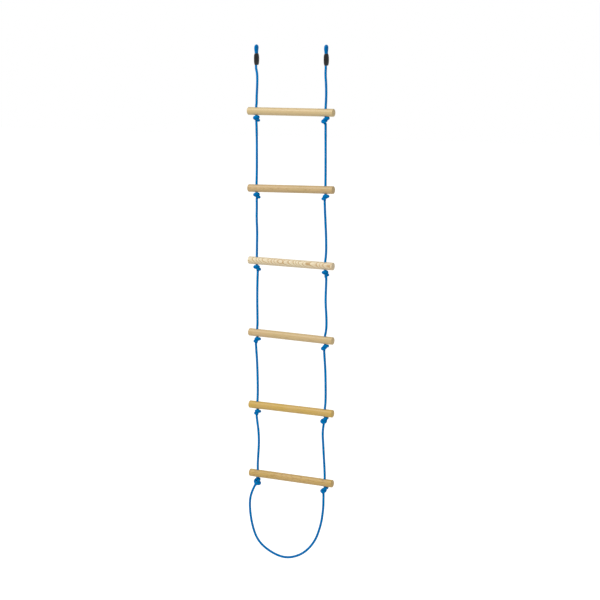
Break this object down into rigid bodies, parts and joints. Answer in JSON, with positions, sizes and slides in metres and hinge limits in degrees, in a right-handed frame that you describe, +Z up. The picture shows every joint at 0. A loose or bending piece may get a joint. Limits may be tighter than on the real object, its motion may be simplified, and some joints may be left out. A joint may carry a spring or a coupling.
{
  "type": "rope ladder",
  "caption": "Hanging rope ladder with round wooden rungs held by knots on two ropes, a clamped eye at the top of each rope and a long rope loop at the foot.",
  "frame": {"origin": "midway between the two hanging eyes, level with the inside of their crowns, where the hooks carry them", "axes": "+Z up along the hanging ladder, +X along the rungs to the right, -Y to the climber who faces the ladder"},
  "size_m": [0.3726, 0.033, 2.0341],
  "materials": {
    "rope": "braided polypropylene, slight sheen",
    "rung_wood": "sanded bare hardwood",
    "clamp_plastic": "moulded, ribbed"
  },
  "bodies": {
    "eyes": {"eye_left": "rope", "eye_right": "rope", "clamp_left_outer_shell": "clamp_plastic", "clamp_left_inner_shell": "clamp_plastic", "clamp_right_outer_shell": "clamp_plastic", "clamp_right_inner_shell": "clamp_plastic"},
    "rope_necks": {"rope_neck_left": "rope", "rope_neck_right": "rope"},
    "left_rope_1": {"rope_1_left": "rope"},
    "right_rope_1": {"rope_1_right": "rope"},
    "rung_1": {"rung_1": "rung_wood", "rope_in_rung_1_left": "rope", "rope_in_rung_1_right": "rope"},
    "knots_1": {"knot_1_left": "rope", "knot_1_right": "rope"},
    "left_rope_2": {"rope_2_left": "rope"},
    "right_rope_2": {"rope_2_right": "rope"},
    "rung_2": {"rung_2": "rung_wood", "rope_in_rung_2_left": "rope", "rope_in_rung_2_right": "rope"},
    "knots_2": {"knot_2_left": "rope", "knot_2_right": "rope"},
    "left_rope_3": {"rope_3_left": "rope"},
    "right_rope_3": {"rope_3_right": "rope"},
    "rung_3": {"rung_3": "rung_wood", "rope_in_rung_3_left": "rope", "rope_in_rung_3_right": "rope"},
    "knots_3": {"knot_3_left": "rope", "knot_3_right": "rope"},
    "left_rope_4": {"rope_4_left": "rope"},
    "right_rope_4": {"rope_4_right": "rope"},
    "rung_4": {"rung_4": "rung_wood", "rope_in_rung_4_left": "rope", "rope_in_rung_4_right": "rope"},
    "knots_4": {"knot_4_left": "rope", "knot_4_right": "rope"},
    "left_rope_5": {"rope_5_left": "rope"},
    "right_rope_5": {"rope_5_right": "rope"},
    "rung_5": {"rung_5": "rung_wood", "rope_in_rung_5_left": "rope", "rope_in_rung_5_right": "rope"},
    "knots_5": {"knot_5_left": "rope", "knot_5_right": "rope"},
    "left_rope_6": {"rope_6_left": "rope"},
    "right_rope_6": {"rope_6_right": "rope"},
    "rung_6": {"rung_6": "rung_wood", "rope_in_rung_6_left": "rope", "rope_in_rung_6_right": "rope"},
    "knots_6": {"knot_6_left": "rope", "knot_6_right": "rope", "foot_loop": "rope"}
  },
  "joints": [
    {"name": "swing_1", "type": "hinge", "parent": "eyes", "child": "rope_necks", "pos_m": [0, 0, -0.0734], "axis": [1, 0, 0], "range_deg": [-45, 45]},
    {"name": "rope_1_left_sway", "type": "hinge", "parent": "rope_necks", "child": "left_rope_1", "pos_m": [-0.1485, 0, -0.0818], "axis": [0, 1, 0], "range_deg": [-15, 15]},
    {"name": "rope_1_right_sway", "type": "hinge", "parent": "rope_necks", "child": "right_rope_1", "pos_m": [0.1485, 0, -0.0818], "axis": [0, 1, 0], "range_deg": [-15, 15]},
    {"name": "rung_1_level", "type": "hinge", "parent": "left_rope_1", "child": "rung_1", "pos_m": [-0.1485, 0, -0.2259], "axis": [0, 1, 0], "range_deg": [-15, 15]},
    {"name": "swing_2", "type": "hinge", "parent": "rung_1", "child": "knots_1", "pos_m": [0, 0, -0.27365], "axis": [1, 0, 0.0017], "range_deg": [-45, 45]},
    {"name": "rope_2_right_sway", "type": "hinge", "parent": "knots_1", "child": "right_rope_2", "pos_m": [0.1485, 0, -0.2908], "axis": [0, 1, 0], "range_deg": [-15, 15]},
    {"name": "rope_2_left_sway", "type": "hinge", "parent": "knots_1", "child": "left_rope_2", "pos_m": [-0.1485, 0, -0.2913], "axis": [0, 1, 0], "range_deg": [-15, 15]},
    {"name": "rung_2_level", "type": "hinge", "parent": "right_rope_2", "child": "rung_2", "pos_m": [0.1485, 0, -0.5179], "axis": [0, 1, 0], "range_deg": [-15, 15]},
    {"name": "swing_3", "type": "hinge", "parent": "rung_2", "child": "knots_2", "pos_m": [0, 0, -0.5689], "axis": [0.9998, 0, 0.0202], "range_deg": [-45, 45]},
    {"name": "rope_3_left_sway", "type": "hinge", "parent": "knots_2", "child": "left_rope_3", "pos_m": [-0.1485, 0, -0.5893], "axis": [0, 1, 0], "range_deg": [-15, 15]},
    {"name": "rope_3_right_sway", "type": "hinge", "parent": "knots_2", "child": "right_rope_3", "pos_m": [0.1485, 0, -0.5833], "axis": [0, 1, 0], "range_deg": [-15, 15]},
    {"name": "rung_3_level", "type": "hinge", "parent": "left_rope_3", "child": "rung_3", "pos_m": [-0.1485, 0, -0.8084], "axis": [0, 1, 0], "range_deg": [-15, 15]},
    {"name": "swing_4", "type": "hinge", "parent": "rung_3", "child": "knots_3", "pos_m": [0, 0, -0.8574], "axis": [1, 0, -0.0067], "range_deg": [-45, 45]},
    {"name": "rope_4_right_sway", "type": "hinge", "parent": "knots_3", "child": "right_rope_4", "pos_m": [0.1485, 0, -0.8758], "axis": [0, 1, 0], "range_deg": [-15, 15]},
    {"name": "rope_4_left_sway", "type": "hinge", "parent": "knots_3", "child": "left_rope_4", "pos_m": [-0.1485, 0, -0.8738], "axis": [0, 1, 0], "range_deg": [-15, 15]},
    {"name": "rung_4_level", "type": "hinge", "parent": "right_rope_4", "child": "rung_4", "pos_m": [0.1485, 0, -1.1004], "axis": [0, 1, 0], "range_deg": [-15, 15]},
    {"name": "swing_5", "type": "hinge", "parent": "rung_4", "child": "knots_4", "pos_m": [0, 0, -1.1459], "axis": [0.9999, 0, -0.0168], "range_deg": [-45, 45]},
    {"name": "rope_5_left_sway", "type": "hinge", "parent": "knots_4", "child": "left_rope_5", "pos_m": [-0.1485, 0, -1.1608], "axis": [0, 1, 0], "range_deg": [-15, 15]},
    {"name": "rope_5_right_sway", "type": "hinge", "parent": "knots_4", "child": "right_rope_5", "pos_m": [0.1485, 0, -1.1658], "axis": [0, 1, 0], "range_deg": [-15, 15]},
    {"name": "rung_5_level", "type": "hinge", "parent": "left_rope_5", "child": "rung_5", "pos_m": [-0.1485, 0, -1.3879], "axis": [0, 1, 0], "range_deg": [-15, 15]},
    {"name": "swing_6", "type": "hinge", "parent": "rung_5", "child": "knots_5", "pos_m": [0, 0, -1.4364], "axis": [1, 0, -0.0034], "range_deg": [-45, 45]},
    {"name": "rope_6_right_sway", "type": "hinge", "parent": "knots_5", "child": "right_rope_6", "pos_m": [0.1485, 0, -1.4543], "axis": [0, 1, 0], "range_deg": [-15, 15]},
    {"name": "rope_6_left_sway", "type": "hinge", "parent": "knots_5", "child": "left_rope_6", "pos_m": [-0.1485, 0, -1.4533], "axis": [0, 1, 0], "range_deg": [-15, 15]},
    {"name": "rung_6_level", "type": "hinge", "parent": "right_rope_6", "child": "rung_6", "pos_m": [0.1485, 0, -1.6699], "axis": [0, 1, 0], "range_deg": [-15, 15]},
    {"name": "foot_loop_swing", "type": "hinge", "parent": "rung_6", "child": "knots_6", "pos_m": [0, 0, -1.71715], "axis": [1, 0, -0.0051], "range_deg": [-45, 45]}
  ],
  "couplings": [
    {"joint": "rope_1_right_sway", "follows": "rope_1_left_sway", "ratio": 1},
    {"joint": "rung_1_level", "follows": "rope_1_left_sway", "ratio": -1},
    {"joint": "rope_2_left_sway", "follows": "rope_2_right_sway", "ratio": 1},
    {"joint": "rung_2_level", "follows": "rope_2_right_sway", "ratio": -1},
    {"joint": "rope_3_right_sway", "follows": "rope_3_left_sway", "ratio": 1},
    {"joint": "rung_3_level", "follows": "rope_3_left_sway", "ratio": -1},
    {"joint": "rope_4_left_sway", "follows": "rope_4_right_sway", "ratio": 1},
    {"joint": "rung_4_level", "follows": "rope_4_right_sway", "ratio": -1},
    {"joint": "rope_5_right_sway", "follows": "rope_5_left_sway", "ratio": 1},
    {"joint": "rung_5_level", "follows": "rope_5_left_sway", "ratio": -1},
    {"joint": "rope_6_left_sway", "follows": "rope_6_right_sway", "ratio": 1},
    {"joint": "rung_6_level", "follows": "rope_6_right_sway", "ratio": -1}
  ]
}
